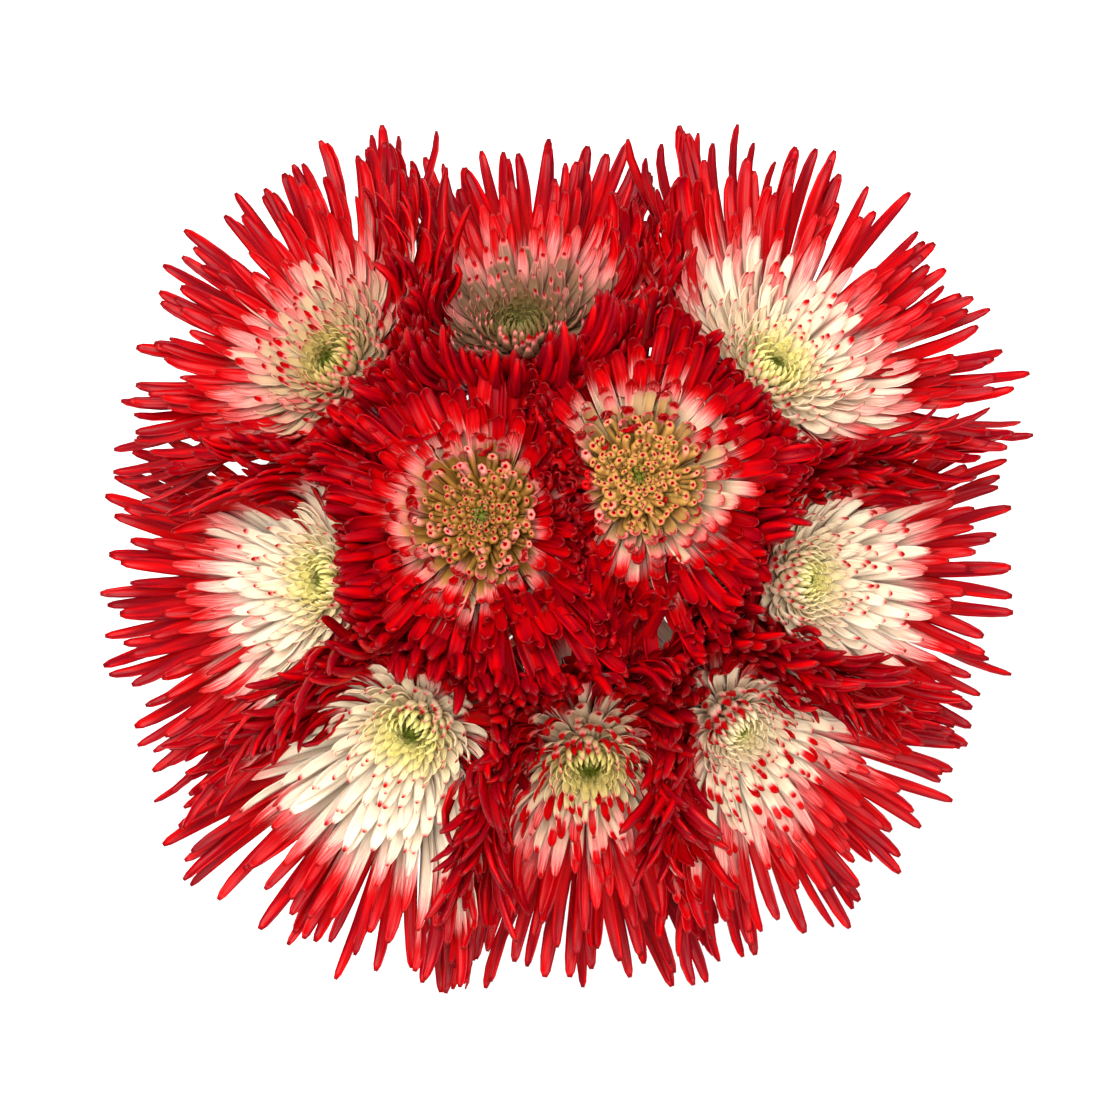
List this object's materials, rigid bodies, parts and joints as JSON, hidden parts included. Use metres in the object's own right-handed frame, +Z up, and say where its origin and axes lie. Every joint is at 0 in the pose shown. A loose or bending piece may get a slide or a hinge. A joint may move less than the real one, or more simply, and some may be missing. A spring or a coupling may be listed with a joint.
{
  "type": "spider chrysanthemum bunch",
  "caption": "Hand-tied bunch of spider chrysanthemums with dyed red-tipped quill petals, on spiral stems bound with raffia; it stands on its cut ends.",
  "frame": {"origin": "under the middle of the dome of blooms, on the surface that the cut ends stand on", "axes": "+Z up, along the tied stems; +Y towards the top of the picture and +X to its right, as the bunch is seen from straight above"},
  "size_m": [0.2501, 0.236, 0.3215],
  "materials": {
    "petal": "satin, ivory at the base and dyed red towards the tip",
    "green": "satin living stem, cup and leaf",
    "raffia": "matt dry leaf fibre"
  },
  "bodies": {
    "root": {"bloom_01": "petal", "bloom_02": "petal", "bloom_03": "petal", "bloom_04": "petal", "bloom_05": "petal", "bloom_06": "petal", "bloom_07": "petal", "bloom_08": "petal", "bloom_09": "petal", "bloom_10": "petal", "stem_01": "green", "stem_02": "green", "stem_03": "green", "stem_04": "green", "stem_05": "green", "stem_06": "green", "stem_07": "green", "stem_08": "green", "stem_09": "green", "stem_10": "green", "tie": "raffia"}
  },
  "joints": []
}
